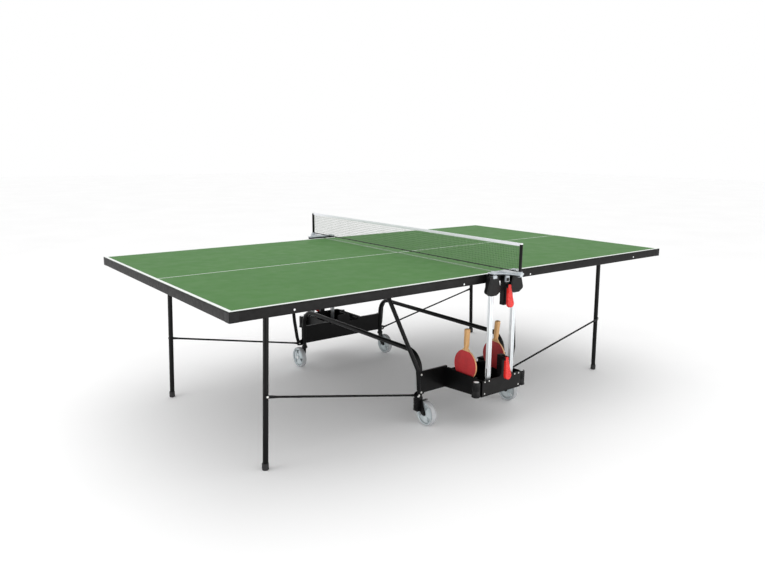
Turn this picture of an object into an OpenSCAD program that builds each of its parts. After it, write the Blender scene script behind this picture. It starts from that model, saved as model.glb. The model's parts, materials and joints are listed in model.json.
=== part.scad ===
// Rollaway table tennis table: two folding halves on one trolley.
// Millimetres. Origin on the floor under the middle of the net, X along the table,
// Y along the net (the near side is -Y), Z up. Modelled unfolded, ready to play.
// Left pieces are drawn at -X and near pieces at -Y; the others are their mirror images.

/* [Table top] */
// Length of the whole playing surface
table_l = 2740; // [2640:10:2740]
// Width of the playing surface
table_w = 1525; // [1485:5:1525]
// Height of the playing surface above the floor
table_h = 760; // [760:1:764]
// Thickness of the board
board_t = 5; // [4:0.5:6]
// Half of the gap between the two halves
half_gap = 2.2; // [2:0.1:3]
// Height of the steel frame under the board
frame_h = 37; // [34:1:38]
// Sheet thickness of the frame channels
channel_t = 1.5; // [1.2:0.1:2]
// Width of a cross rail
rail_w = 30; // [24:1:34]

/* [Folding gear] */
// Distance of the hinge heads and posts from the middle
head_x = 77; // [77:1:79]
// Height of the hinge pins, unfolded
head_z = 743; // [743:1:744]
// Outer diameter of the leg tube
leg_d = 24; // [22:1:25]
// Distance of the leg hinge from the middle
leg_x = 1105; // [1095:5:1115]
// How far a foot stands outside its hinge
leg_splay = 25; // [10:1:30]
// Distance of the legs from the middle line
leg_y = 534; // [530:1:536]
// Height of the hinge bars of legs and struts
bar_z = 733; // [732:1:734]
// Outer diameter of the strut tube
strut_d = 20; // [18:1:20]
// Distance of the strut hinge from the middle
strut_x = 456; // [450:1:460]
// Diameter of a link rod
link_d = 10; // [8:1:10]
// Height where a link rod meets its leg
link_z = 325; // [320:1:330]

/* [Trolley] */
// Distance of the trolley frames from the middle
trolley_x = 290; // [289:1:291]
// Distance of the trolley legs from the middle line
trolley_y = 542; // [541:1:542]
// Outer diameter of the trolley tube
trolley_d = 24; // [23:1:24]
// Height of the trolley's top bar
trolley_z = 362; // [350:1:370]
// Radius of the bends in the trolley tube
trolley_bend = 88; // [70:1:92]
// Distance of the shared pivot bolt from the middle
pivot_x = 318; // [318:1:320]
// Height of the shared pivot bolt
pivot_z = 157; // [156:1:160]
// Diameter of the wheels
wheel_d = 124; // [120:1:124]
// Width of the wheels
wheel_w = 26; // [22:1:26]

/* [Posts, trays and net] */
// Distance of the posts from the middle line
post_y = 790; // [788:1:791]
// Width of a post along the table
post_w = 22; // [20:1:22]
// Depth of a post across the table
post_t = 16; // [15:1:16]
// Half of the width of a tray
tray_x = 131; // [131:1:133]
// Height of the net's top edge above the playing surface
net_h = 152.5; // [150:0.5:152.5]
// Distance of the net posts from the middle line
net_y = 890; // [885:1:895]

/* [Bats] */
// Radius of a bat's blade
blade_r = 75; // [72:1:76]
// Thickness of the plywood blade
blade_t = 6; // [5:0.5:6]
// Thickness of one rubber
rubber_t = 2; // [1.5:0.5:2]

/* [Hidden] */
$fn = 48;

half_l = table_l / 2;
half_w = table_w / 2;
board_z = table_h - board_t;      // underside of the board
frame_z = board_z - frame_h;      // bottom edge of the frame
running = 0.05;                   // radial play of a turning fit
tube_t = 1.5;                     // wall of every steel tube

pin_r = 5;
bolt_r = 4;
link_t = 3.5;                     // flattened end of a link rod
eye_l = 64;
link_in_y = trolley_y + trolley_d / 2 + 2.25;
link_out_y = leg_y + leg_d / 2 + 2.25;
leg_tilt = atan(leg_splay / bar_z);
link_x = leg_x + leg_splay * (bar_z - link_z) / bar_z;
hook_slant = 11;                  // slope of the open slot in a strut's lower end
strut_low = [-pivot_x, -(link_in_y + 16.25), pivot_z];
strut_bend = [-335, -580, 293];
strut_top = [-strut_x, -441, bar_z];

swivel_z = 140;                   // bottom of a trolley leg
stem_r = 5.5;
wheel_r = wheel_d / 2;
wheel_off = 15;                   // wheel's middle, sideways from the swivel axis
trail = 36;

plate_t = 1.6;
tray_floor_z = 181;
panel_y = 810;
panel_z = 185;
panel_top = 263;
back_top = 265;
bat_x = 117.5;
near_bat_y = [-679, -644];        // middle of the left and of the right bat
bat_z = 232 + blade_r;            // middle of a blade
bat_lean = [1.5, 5];               // of the left and of the right bat

// ---------- helpers ----------

// The child as drawn for -1, its mirror image for 1
module on_side(side) {
  if (side > 0) mirror([1, 0, 0]) children();
  else children();
}

module on_end(end) {
  if (end > 0) mirror([0, 1, 0]) children();
  else children();
}

module both_ends() {
  for (end = [-1, 1]) on_end(end) children();
}

module both_sides() {
  for (side = [-1, 1]) on_side(side) children();
}

// A box from its low corner to its high corner
module block(low, high) {
  translate(low) cube(high - low);
}

// Puts the child's X axis on the line from a to b
module along(a, b) {
  d = b - a;
  translate(a) rotate([0, -atan2(d.z, norm([d.x, d.y])), atan2(d.y, d.x)]) children();
}

// Straight round bar from a to b
module bar(a, b, d) {
  along(a, b) rotate([0, 90, 0]) cylinder(h = norm(b - a), d = d);
}

module y_cylinder(x, y0, y1, z, r) {
  translate([x, max(y0, y1), z]) rotate([90, 0, 0]) cylinder(h = abs(y1 - y0), r = r);
}

module x_cylinder(x0, x1, y, z, r) {
  translate([min(x0, x1), y, z]) rotate([0, 90, 0]) cylinder(h = abs(x1 - x0), r = r);
}

// Bar bent into an upside-down U in the YZ plane, its top bar on the X = 0, Z = 0 line
module u_bar(half_span, drop, d, bend) {
  rotate([90, 0, 0]) cylinder(h = 2 * (half_span - bend), d = d, center = true);
  both_ends() {
    translate([0, -half_span, -drop]) cylinder(h = drop - bend, d = d);
    translate([0, bend - half_span, -bend]) rotate([0, 90, 0]) rotate([0, 0, 180])
      rotate_extrude(angle = 90) translate([bend, 0]) circle(d = d);
  }
}

// Flat rectangular ring between z0 and z1, w wide inwards
module ring(low, high, w, z0, z1) {
  difference() {
    block([low.x, low.y, z0], [high.x, high.y, z1]);
    block([low.x + w, low.y + w, z0 - 1], [high.x - w, high.y - w, z1 + 1]);
  }
}

// ---------- one half of the table (drawn at -X) ----------

module half_board() {
  color("#6b935f") block([-half_l, -half_w, board_z], [-half_gap, half_w, table_h]);
}

module cross_rail(x) {
  rail_bottom = frame_z + 9;
  y = half_w - channel_t;
  block([x, -y, board_z - channel_t], [x + rail_w, y, board_z]);
  for (web = [0, rail_w - channel_t])
    block([x + web, -y, rail_bottom], [x + web + channel_t, y, board_z]);
}

module half_frame() {
  low = [-half_l, -half_w];
  high = [-half_gap, half_w];
  color("#1c1c1d") difference() {
    union() {
      ring(low, high, channel_t, frame_z, board_z);
      ring(low, high, 25, board_z - channel_t, board_z);
      ring(low, high, 12, frame_z, frame_z + channel_t);
      cross_rail(-leg_x - 25 - rail_w);
      cross_rail(-strut_x - 25 - rail_w);
    }
    both_ends() y_cylinder(-head_x, -half_w - 1, -half_w + 20, head_z, pin_r);
  }
}

// Moulded caps hooked under the two outer corners
module corner_caps() {
  cap = 34;
  color("#262628") both_ends() difference() {
    block([-half_l + channel_t, -half_w + channel_t, frame_z + channel_t + 0.2],
          [-half_l + cap, -half_w + cap, board_z - channel_t - 0.2]);
    block([-half_l + 6, -half_w + 6, frame_z + 5], [-half_l + cap + 1, -half_w + cap + 1, board_z - 5]);
  }
}

module hinge_pins() {
  color("silver") both_ends() {
    y_cylinder(-head_x, -778, -half_w + 14, head_z, pin_r);
    y_cylinder(-head_x, -half_w + channel_t, -half_w + channel_t + 3, head_z, 8);
  }
}

module axle_clamp(x, y, bar_d) {
  difference() {
    block([-x - 20, y - 12, bar_z - bar_d / 2 - 4], [-x + 20, y + 12, board_z - channel_t]);
    y_cylinder(-x, y - 13, y + 13, bar_z, bar_d / 2 + running);
  }
}

module axle_clamps() {
  color("#2b2b2d") for (side = [-1, 1]) {
    axle_clamp(leg_x, side * 300, leg_d);
    axle_clamp(strut_x, side * 250, strut_d);
  }
}

// ---------- legs, link rods and struts (drawn at -X) ----------

module leg_u(d, reach) {
  translate([-leg_x, 0, bar_z]) rotate([0, leg_tilt, 0]) u_bar(leg_y, reach, d, 60);
}

module leg_frame() {
  reach = (bar_z - 4) / cos(leg_tilt);
  color("#161617") difference() {
    leg_u(leg_d, reach);
    leg_u(leg_d - 2 * tube_t, reach + 1);
  }
}

module foot_caps() {
  color("#303032") difference() {
    both_ends() translate([-leg_x - leg_splay, -leg_y, 0]) cylinder(h = 30, r = leg_d / 2 + 2.5);
    leg_u(leg_d, (bar_z - 4) / cos(leg_tilt));
  }
}

link_in = [-pivot_x, -link_in_y, pivot_z];
link_out = [-link_x, -link_out_y, link_z];

// Flattened eye of a link rod, pointing along +X from its bolt
module link_eye() {
  translate([0, link_t / 2, 0]) rotate([90, 0, 0]) cylinder(h = link_t, r = 9);
  block([0, -link_t / 2, -7], [eye_l, link_t / 2, 7]);
}

module link_rods() {
  span = norm(link_out - link_in);
  color("#1a1a1b") both_ends() difference() {
    union() {
      along(link_in, link_out) {
        link_eye();
        translate([eye_l - 6, 0, 0]) rotate([0, 90, 0]) cylinder(h = span - 2 * eye_l + 12, d = link_d);
      }
      along(link_out, link_in) link_eye();
    }
    y_cylinder(link_in.x, -link_in_y - 5, -link_in_y + 5, link_in.z, bolt_r + running);
  }
}

// Heads of the bolts through the outer eyes; their shanks are left out so that the eyes can swing away
module rod_bolts() {
  face = link_out_y + link_t / 2 + 0.1;
  color("silver") both_ends() y_cylinder(link_out.x, -face - 5, -face, link_out.z, 7.5);
}

module strut_path(d, foot) {
  joint_d = d + 0.6;
  bar(foot, strut_bend, d);
  bar(strut_bend, strut_top, d);
  translate(strut_bend) sphere(d = joint_d);
  translate(strut_top) sphere(d = joint_d);
}

// Flattened foot of a strut with a slot that opens towards the middle of the table
module strut_foot() {
  inner = -strut_low.y - strut_d / 2;
  difference() {
    union() {
      y_cylinder(strut_low.x, -inner, -inner - 5, strut_low.z, 13);
      along([strut_low.x, -inner - 2.5, strut_low.z], [strut_bend.x, -inner - 2.5, strut_bend.z])
        block([0, -2.5, -9], [48, 2.5, 9]);
    }
    y_cylinder(strut_low.x, -inner + 1, -inner - 6, strut_low.z, bolt_r + 0.8);
    translate([strut_low.x, -inner - 6, strut_low.z]) rotate([0, hook_slant, 0])
      block([0, -1, -bolt_r - 0.8], [30, 8, bolt_r + 0.8]);
  }
}

module strut_frame() {
  foot = strut_low + (strut_bend - strut_low) * 0.26;
  color("#161617") {
    difference() {
      union() {
        both_ends() strut_path(strut_d, foot);
        y_cylinder(-strut_x, strut_top.y, -strut_top.y, bar_z, strut_d / 2);
      }
      y_cylinder(-strut_x, strut_top.y, -strut_top.y, bar_z, strut_d / 2 - tube_t);
      both_ends() bar(foot - (strut_bend - foot) * 0.1, strut_bend, strut_d - 2 * tube_t);
    }
    both_ends() strut_foot();
  }
}

// ---------- hinge heads, posts and locks (drawn at -X or -Y) ----------

head_top = 754;
head_low = 663;

module hinge_head() {
  front = post_y + 18;
  difference() {
    union() {
      translate([-head_x, -front + 20, 0]) rotate([90, 0, 0]) linear_extrude(20)
        polygon([[-27, head_top], [27, head_top], [30, 738], [46, 686], [43, 678], [19, head_low],
                 [-19, head_low], [-43, 678], [-46, 686], [-30, 738]]);
      block([-head_x - 15.5, -front + 19, head_low + 8], [-head_x + 15.5, -765, head_top]);
    }
    y_cylinder(-head_x, -764, -779, head_z, pin_r + running);
    block([-head_x - post_w / 2 - 0.2, -post_y - post_t / 2 - 0.2, head_low - 1],
          [-head_x + post_w / 2 + 0.2, -post_y + post_t / 2 + 0.2, head_top + 1]);
  }
}

module hinge_heads() {
  color("#202022") both_ends() hinge_head();
}

module post_pair() {
  slot_z = [271, 309];
  both_sides() difference() {
    block([-head_x - post_w / 2, -post_y - post_t / 2, 192], [-head_x + post_w / 2, -post_y + post_t / 2, 756]);
    block([-head_x - post_w / 2 + 1.6, -post_y - post_t / 2 + 1.6, 191],
          [-head_x + post_w / 2 - 1.6, -post_y + post_t / 2 - 1.6, 757]);
    block([-head_x - post_w / 2 - 1, -post_y - 3, slot_z[0]], [-head_x - post_w / 2 + 3, -post_y + 3, slot_z[1]]);
  }
}

module posts() {
  color("#c9cccc") both_ends() post_pair();
}

module post_caps() {
  color("#242426") both_ends() block([-92, -post_y - 22, 756.5], [92, -766, 761]);
}

// Wing-shaped arm that carries the net post outside the table
module net_bracket() {
  inner = 772;
  color("#aeb2b6") difference() {
    translate([0, 0, 761]) linear_extrude(11) difference() {
      polygon([[-92, -inner], [92, -inner], [92, -806], [14, -net_y - 14], [-14, -net_y - 14], [-92, -806]]);
      for (side = [-1, 1]) translate([side * 108, -900]) circle(r = 88);
    }
    translate([0, -net_y, 768]) cylinder(h = 5, r = 6.6);
  }
}

module net_posts() {
  color("#1b1b1c") both_ends() translate([0, -net_y, 768]) cylinder(h = table_h + net_h - 768 - 2, r = 6.5);
}

net_low = table_h + 21;
net_top = table_h + net_h;
tape_h = 15;
net_end = net_y - 6.8;

module net_mesh() {
  color("#8fa08c") block([-0.8, -net_end, net_low + 1.6], [0.8, net_end, net_top - tape_h]);
}

module net_tape() {
  color("white") block([-2, -net_end, net_top - tape_h], [2, net_end, net_top]);
}

module net_cord() {
  color("#1d1d1d") y_cylinder(0, -net_end, net_end, net_low, 1.6);
}

// Block between the posts with two ears for a handle's pin
module lock_housing(handle_y, handle_z, low, high) {
  block([-14, -814, low], [14, -786, high]);
  for (side = [-1, 1]) on_side(side)
    block([-14, -handle_y - 6, handle_z - 8], [-11, -813, handle_z + 8]);
  x_cylinder(-14, 14, -handle_y, handle_z, 3);
}

upper_pivot = [828, 705];
lower_pivot = [833, 355];
hang = 8;                         // how far the pulls stand out at their lower end

module lock_housings() {
  color("#1e1e20") both_ends() {
    lock_housing(upper_pivot[0], upper_pivot[1], 612, 756);
    lock_housing(lower_pivot[0], lower_pivot[1], 263.5, 367);
    block([-14, -panel_y, 200], [14, -786, 264]);
  }
}

// Teardrop pull, hung from a pin along X
module pull_handle(pivot, length, r) {
  t = 12;
  neck = 8;
  drop = length - r;
  difference() {
    translate([0, -pivot[0], pivot[1]]) rotate([90 - hang, 0, 0]) linear_extrude(t, center = true) {
      circle(r = neck);
      polygon([[-neck * 0.96, -1], [neck * 0.96, -1], [r * 0.97, -drop + 4], [-r * 0.97, -drop + 4]]);
      translate([0, -drop]) circle(r = r);
    }
    x_cylinder(-20, 20, -pivot[0], pivot[1], 3 + running);
  }
}

module upper_handle() {
  color("#d2261e") pull_handle(upper_pivot, 101, 21);
}

module lower_handle() {
  color("#d2261e") pull_handle(lower_pivot, 101, 21);
}

// ---------- trolley ----------

module caster_at(side, end) {
  translate([side * trolley_x, end * trolley_y, 0]) children();
}

module trolley_frame() {
  drop = trolley_z - swivel_z;
  bore_top = swivel_z + 40;
  plate_y = trolley_y + trolley_d / 2;
  color("#151516") difference() {
    union() {
      translate([-trolley_x, 0, trolley_z]) u_bar(trolley_y, drop, trolley_d, trolley_bend);
      both_ends() {
        // Bracket and pivot bolt for the link rod and the strut
        block([-pivot_x - 14, -plate_y, pivot_z - 13], [-trolley_x, -plate_y + 3, pivot_z + 25]);
        y_cylinder(-pivot_x, -plate_y + 1, strut_low.y + strut_d / 2 - 5.8, pivot_z, bolt_r);
        y_cylinder(-pivot_x, strut_low.y + strut_d / 2 - 5.8, strut_low.y + strut_d / 2 - 10.5, pivot_z, 8);
      }
    }
    both_ends() {
      translate([-trolley_x, -trolley_y, swivel_z - 1]) cylinder(h = 41, r = stem_r + running);
      translate([-trolley_x, -trolley_y, bore_top + 5])
        cylinder(h = trolley_z - trolley_bend - bore_top - 5, d = trolley_d - 2 * tube_t);
    }
    y_cylinder(-trolley_x, -trolley_y + trolley_bend, trolley_y - trolley_bend, trolley_z, trolley_d / 2 - tube_t);
  }
}

// Sheet between the two trolley frames, notched where the folded halves come down
module back_plate() {
  end_x = trolley_x - trolley_d / 2 - 0.3;
  notch = [45, 109, 246];
  color("#19191a") {
    difference() {
      union() {
        block([-end_x, -trolley_y - plate_t / 2, 155], [end_x, -trolley_y + plate_t / 2, back_top]);
        block([-end_x, -trolley_y - plate_t / 2, back_top - plate_t], [end_x, -trolley_y + 10, back_top]);
        block([-notch[0], -trolley_y - plate_t / 2, back_top - 1], [notch[0], -trolley_y + plate_t / 2, 296]);
      }
      for (side = [-1, 1]) on_side(side)
        block([-notch[1], -trolley_y - 20, notch[2]], [-notch[0], -trolley_y + 20, 300]);
    }
    both_sides() block([-trolley_x - 12, -trolley_y - 14.2, 155], [-end_x + 6, -trolley_y - 12.6, back_top]);
    both_sides() block([-end_x + 4.4, -trolley_y - 14.2, 155], [-end_x + 6, -trolley_y, back_top]);
  }
}

// Floor and side plates of a tray
module tray() {
  y0 = -trolley_y - plate_t;
  y1 = -panel_y + 0.1;
  color("#171718") {
    block([-tray_x, y1, tray_floor_z], [tray_x, y0, tray_floor_z + plate_t]);
    both_sides() translate([-tray_x - plate_t, 0, 0]) rotate([90, 0, 90]) linear_extrude(plate_t)
      polygon([[y0, 160], [y0, back_top], [y1, panel_top], [y1, tray_floor_z - 2]]);
  }
}

// Outer panel of a tray with the two blocks that hold the posts
module end_panel() {
  color("#1b1b1c") {
    block([-tray_x - plate_t, -panel_y - plate_t, panel_z], [tray_x + plate_t, -panel_y, panel_top]);
    both_sides() block([-head_x - 13, -panel_y, 194], [-head_x + 13, -post_y - post_t / 2, 240]);
  }
}

module corner_bumpers() {
  bumper_r = 20;
  foot_r = bumper_r + 1.5;
  color("#2a2a2c") both_ends() both_sides()
    translate([-tray_x - plate_t - 0.4 - foot_r, -792, panel_z - 2]) {
      cylinder(h = 76, r = bumper_r);
      cylinder(h = 8, r = foot_r);
    }
}

module tray_bolts() {
  flange_y = -trolley_y - 14.2;
  color("silver") both_ends() both_sides() {
    for (z = [165, 255]) y_cylinder(-trolley_x, flange_y, flange_y - 3, z, 5);
    for (p = [[89, 254], [117, 254], [117, 196]])
      y_cylinder(-p[0], -panel_y - plate_t, -panel_y - plate_t - 2, p[1], 3.5);
  }
}

// Moulded holders with a slot for a bat's blade, beside each side plate
module bat_holders() {
  floor_z = tray_floor_z + plate_t;
  slot_w = 12.4;
  color("#1f1f20") both_sides() difference() {
    block([-tray_x + 0.2, -752, floor_z], [-bat_x + 11.5, -550, 258]);
    block([-bat_x - slot_w / 2, -745, 231.5], [-bat_x + slot_w / 2, -553, 260]);
    block([-bat_x, -680, 240], [-bat_x + 20, -600, 260]);
  }
}

// ---------- casters (drawn at the origin, wheel towards +X and trailing towards -Y) ----------

module fork(brake) {
  arm = [-4, 1];
  color("#161617") difference() {
    union() {
      translate([0, 0, 128]) cylinder(h = 11.5, r = 17);
      translate([0, 0, 138]) cylinder(h = 36, r = stem_r);
      translate([arm[0], 0, 0]) rotate([90, 0, 90]) linear_extrude(arm[1] - arm[0])
        polygon([[-20, 136], [13, 136], [10, 96], [-24, 54], [-44, 50], [-50, 62], [-40, 80]]);
      // Ribbed brake housing and guard, on the near pair alone
      if (brake) {
        block([-22, -14, 70], [arm[0], 15, 136]);
        for (z = [70 : 8 : 134]) block([-25, -16, z], [arm[0], 18, z + 4]);
        block([arm[0], -30, 127], [wheel_off + wheel_w / 2, 14, 132]);
      }
      x_cylinder(-7, arm[0], -trail, wheel_r, 9);
      x_cylinder(arm[0], wheel_off + wheel_w / 2 + 4, -trail, wheel_r, 4.5);
      x_cylinder(wheel_off + wheel_w / 2 + 1, wheel_off + wheel_w / 2 + 4, -trail, wheel_r, 9);
    }
  }
}

// Wheel on the X axis with its middle at the origin
module wheel() {
  rim_in = wheel_r - 11;
  hub_r = 14;
  color("#b4bcc0") rotate([0, 90, 0]) difference() {
    union() {
      difference() {
        cylinder(h = wheel_w, r = wheel_r, center = true, $fn = 96);
        cylinder(h = wheel_w + 2, r = rim_in, center = true, $fn = 96);
      }
      cylinder(h = 16, r = rim_in + 0.5, center = true, $fn = 96);
      cylinder(h = wheel_w - 2, r = hub_r, center = true);
    }
    cylinder(h = wheel_w + 2, r = 4.5 + running, center = true);
    for (turn = [0, 120, 240]) rotate(turn) linear_extrude(20, center = true)
      polygon([[hub_r + 3.5, 0], [rim_in - 5, 17], [rim_in - 5, -17]]);
  }
}

// Turn of each caster about its stem, left near, right near, left far, right far
function caster_turn(side, end) = side < 0 && end > 0 ? 180 : 0;

module fork_at(side, end) {
  caster_at(side, end) rotate(caster_turn(side, end)) fork(end < 0);
}

module wheel_at(side, end) {
  caster_at(side, end) rotate(caster_turn(side, end)) translate([wheel_off, -trail, wheel_r]) wheel();
}

// ---------- bats (drawn standing in the YZ plane, blade's middle at the origin) ----------

module bat_wood() {
  color("#c9a26b") {
    translate([-blade_t / 2, 0, 0]) rotate([0, 90, 0]) cylinder(h = blade_t, r = blade_r, $fn = 96);
    block([-blade_t / 2, -15, blade_r - 12], [blade_t / 2, 15, blade_r + 10]);
    block([-11.5, -14, blade_r + 8], [11.5, 14, blade_r + 104]);
  }
}

module bat_rubbers() {
  neck = blade_r - 14;
  color("#a3262c") for (face = [-1, 1]) difference() {
    translate([face * (blade_t + rubber_t) / 2 - rubber_t / 2, 0, 0]) rotate([0, 90, 0])
      cylinder(h = rubber_t, r = blade_r - 0.5, $fn = 96);
    block([-10, -50, neck], [10, 50, neck + 30]);
  }
}

module bat_at(side) {
  i = side < 0 ? 0 : 1;
  translate([side * bat_x, near_bat_y[i], bat_z]) rotate([bat_lean[i], 0, 0]) children();
}

on_side(-1) half_board();  // left_board
on_side(-1) half_frame();  // left_frame
on_side(-1) corner_caps();  // left_corner_caps
on_side(-1) hinge_pins();  // left_hinge_pins
on_side(-1) axle_clamps();  // left_axle_clamps
on_side(1) half_board();  // right_board
on_side(1) half_frame();  // right_frame
on_side(1) corner_caps();  // right_corner_caps
on_side(1) hinge_pins();  // right_hinge_pins
on_side(1) axle_clamps();  // right_axle_clamps
on_side(-1) leg_frame();  // left_leg_frame
on_side(-1) foot_caps();  // left_foot_caps
on_side(-1) link_rods();  // left_link_rods
on_side(-1) rod_bolts();  // left_rod_bolts
on_side(-1) strut_frame();  // left_strut_frame
on_side(1) leg_frame();  // right_leg_frame
on_side(1) foot_caps();  // right_foot_caps
on_side(1) link_rods();  // right_link_rods
on_side(1) rod_bolts();  // right_rod_bolts
on_side(1) strut_frame();  // right_strut_frame
on_side(-1) hinge_heads();  // left_hinge_heads
on_side(1) hinge_heads();  // right_hinge_heads
on_side(-1) trolley_frame();  // left_trolley_frame
on_side(1) trolley_frame();  // right_trolley_frame
on_end(-1) back_plate();  // near_back_plate
on_end(-1) tray();  // near_tray
on_end(-1) end_panel();  // near_end_panel
on_end(1) back_plate();  // far_back_plate
on_end(1) tray();  // far_tray
on_end(1) end_panel();  // far_end_panel
corner_bumpers();
tray_bolts();
on_end(-1) bat_holders();  // near_bat_holders
on_end(1) bat_holders();  // far_bat_holders
posts();
post_caps();
on_end(-1) net_bracket();  // near_net_bracket
on_end(1) net_bracket();  // far_net_bracket
net_posts();
net_mesh();
net_tape();
net_cord();
lock_housings();
on_end(-1) upper_handle();  // near_upper_handle
on_end(-1) lower_handle();  // near_lower_handle
on_end(1) upper_handle();  // far_upper_handle
on_end(1) lower_handle();  // far_lower_handle
fork_at(-1, -1);  // near_left_fork
fork_at(1, -1);  // near_right_fork
fork_at(-1, 1);  // far_left_fork
fork_at(1, 1);  // far_right_fork
wheel_at(-1, -1);  // near_left_wheel
wheel_at(1, -1);  // near_right_wheel
wheel_at(-1, 1);  // far_left_wheel
wheel_at(1, 1);  // far_right_wheel
bat_at(-1) bat_wood();  // left_bat_wood
bat_at(-1) bat_rubbers();  // left_bat_rubbers
bat_at(1) bat_wood();  // right_bat_wood
bat_at(1) bat_rubbers();  // right_bat_rubbers
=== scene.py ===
"""A rollaway table tennis table: the looks of every piece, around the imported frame."""
import json
import math

import bmesh
import bpy
from mathutils import Matrix, Vector


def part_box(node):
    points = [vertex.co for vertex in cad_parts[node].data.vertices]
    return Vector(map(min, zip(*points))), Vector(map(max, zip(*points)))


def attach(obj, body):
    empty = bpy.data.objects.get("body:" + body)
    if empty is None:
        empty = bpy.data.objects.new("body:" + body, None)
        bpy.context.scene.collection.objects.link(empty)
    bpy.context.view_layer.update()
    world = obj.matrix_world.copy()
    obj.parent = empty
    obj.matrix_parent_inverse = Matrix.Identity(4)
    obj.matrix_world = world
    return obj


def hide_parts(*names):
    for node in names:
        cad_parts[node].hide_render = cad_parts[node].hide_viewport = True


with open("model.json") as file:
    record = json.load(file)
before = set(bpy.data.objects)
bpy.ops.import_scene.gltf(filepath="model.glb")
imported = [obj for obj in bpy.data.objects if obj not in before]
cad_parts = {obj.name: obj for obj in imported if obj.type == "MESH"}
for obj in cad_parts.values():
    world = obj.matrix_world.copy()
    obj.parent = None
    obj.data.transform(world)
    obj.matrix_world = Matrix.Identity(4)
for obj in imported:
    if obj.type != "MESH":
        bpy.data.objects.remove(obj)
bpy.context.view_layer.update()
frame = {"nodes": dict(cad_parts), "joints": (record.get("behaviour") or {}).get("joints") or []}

MM = 0.001
SIDES = {"left": -1, "right": 1}
ENDS = {"near": -1, "far": 1}
JOINT = {joint["name"]: joint for joint in frame["joints"]}


def box_mm(node):
    """Lowest and highest corner of a CAD node, in millimetres."""
    low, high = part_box(node)
    return Vector(low) / MM, Vector(high) / MM


def pivot_mm(joint):
    return Vector(JOINT[joint]["pos_m"]) / MM


# ---------------------------------------------------------------- materials

def srgb(hexa):
    """A linear colour from a hex value such as 4f8a45."""
    parts = [int(hexa[i:i + 2], 16) / 255 for i in (0, 2, 4)]
    return [c / 12.92 if c <= 0.04045 else ((c + 0.055) / 1.055) ** 2.4 for c in parts] + [1]


def add(tree, kind, links=None, sockets=None, **settings):
    """One node with its settings, its constant sockets and its incoming links."""
    made = tree.nodes.new("ShaderNode" + kind)
    for key, value in settings.items():
        setattr(made, key, value)
    for key, value in (sockets or {}).items():
        made.inputs[key].default_value = value
    for key, source in (links or {}).items():
        tree.links.new(source, made.inputs[key])
    return made


def start(name, **sockets):
    """A new material: its tree, its shader and the place on the object, in millimetres."""
    made = bpy.data.materials.new(name)
    made.use_nodes = True
    tree = made.node_tree
    shader = tree.nodes["Principled BSDF"]
    for key, value in sockets.items():
        shader.inputs[key.replace("_", " ")].default_value = value
    made.diffuse_color = shader.inputs["Base Color"].default_value
    place = add(tree, "TexCoord").outputs["Object"]
    in_mm = add(tree, "VectorMath", {0: place}, {"Scale": 1000}, operation="SCALE").outputs[0]
    return made, tree, shader, in_mm


def noise(tree, place, size_mm, detail=2.0, stretch=(1, 1, 1)):
    """Noise whose blotches are about size_mm across, drawn out along an axis by stretch."""
    scaled = add(tree, "Mapping", {"Vector": place}, {"Scale": [1 / (size_mm * s) for s in stretch]})
    made = add(tree, "TexNoise", {"Vector": scaled.outputs[0]}, {"Scale": 1.0, "Detail": detail})
    return made.outputs["Fac"]


def tint(tree, shader, factor, low, high, colours):
    """Base colour between two colours, where factor runs from low to high."""
    ramp = add(tree, "ValToRGB", {"Fac": factor})
    for stop, at, hexa in zip(ramp.color_ramp.elements, (low, high), colours):
        stop.position = at
        stop.color = srgb(hexa)
    tree.links.new(ramp.outputs["Color"], shader.inputs["Base Color"])
    return ramp


def rough(tree, shader, factor, low, high):
    """Roughness between low and high, following factor."""
    spread = add(tree, "MapRange", {"Value": factor},
                 {"From Min": 0.3, "From Max": 0.7, "To Min": low, "To Max": high})
    tree.links.new(spread.outputs[0], shader.inputs["Roughness"])


def emboss(tree, shader, height, depth_mm, strength=1.0):
    bump = add(tree, "Bump", {"Height": height}, {"Distance": depth_mm * MM, "Strength": strength})
    tree.links.new(bump.outputs[0], shader.inputs["Normal"])


def melamine_laminate():
    """Green melamine resin board, pressed against a fine matt plate: even colour, low gloss, pebbled."""
    made, tree, shader, place = start("melamine_laminate", IOR=1.5, Specular_IOR_Level=0.1)
    tint(tree, shader, noise(tree, place, 260, 3), 0.3, 0.7, ("47783a", "4a7b3c"))
    rough(tree, shader, noise(tree, place, 60), 0.5, 0.58)
    # The real pebble is about 0.4 mm; drawn at 2.5 mm so that it shows.
    emboss(tree, shader, noise(tree, place, 2.5), 0.08, 0.4)
    return made


def line_enamel():
    """White screen-printed enamel on the board: a thin, slightly glossier film."""
    made, tree, shader, place = start("line_enamel", IOR=1.5)
    tint(tree, shader, noise(tree, place, 30), 0.3, 0.7, ("e6ebe8", "f1f4f2"))
    rough(tree, shader, noise(tree, place, 12), 0.34, 0.46)
    emboss(tree, shader, noise(tree, place, 2.5), 0.08, 0.4)
    return made


def powder_coat(name, colours, gloss):
    """Baked polyester powder on steel: satin black with a faint orange peel."""
    made, tree, shader, place = start(name, IOR=1.5, Specular_IOR_Level=0.16)
    tint(tree, shader, noise(tree, place, 45, 4), 0.35, 0.65, colours)
    rough(tree, shader, noise(tree, place, 18), gloss, gloss + 0.1)
    # Orange peel of polyester powder is 1 to 3 mm across.
    emboss(tree, shader, noise(tree, place, 2.2, 1), 0.05, 0.6)
    return made


def moulded_plastic(name, colours, gloss, grain_mm=1.1, depth_mm=0.05, shine=0.35):
    """Injection-moulded ABS or nylon with the fine spark-eroded grain of its mould."""
    made, tree, shader, place = start(name, IOR=1.5, Specular_IOR_Level=shine)
    tint(tree, shader, noise(tree, place, 25, 3), 0.35, 0.65, colours)
    rough(tree, shader, noise(tree, place, 8), gloss, gloss + 0.12)
    emboss(tree, shader, noise(tree, place, grain_mm, 3), depth_mm, 0.7)
    return made


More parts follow.
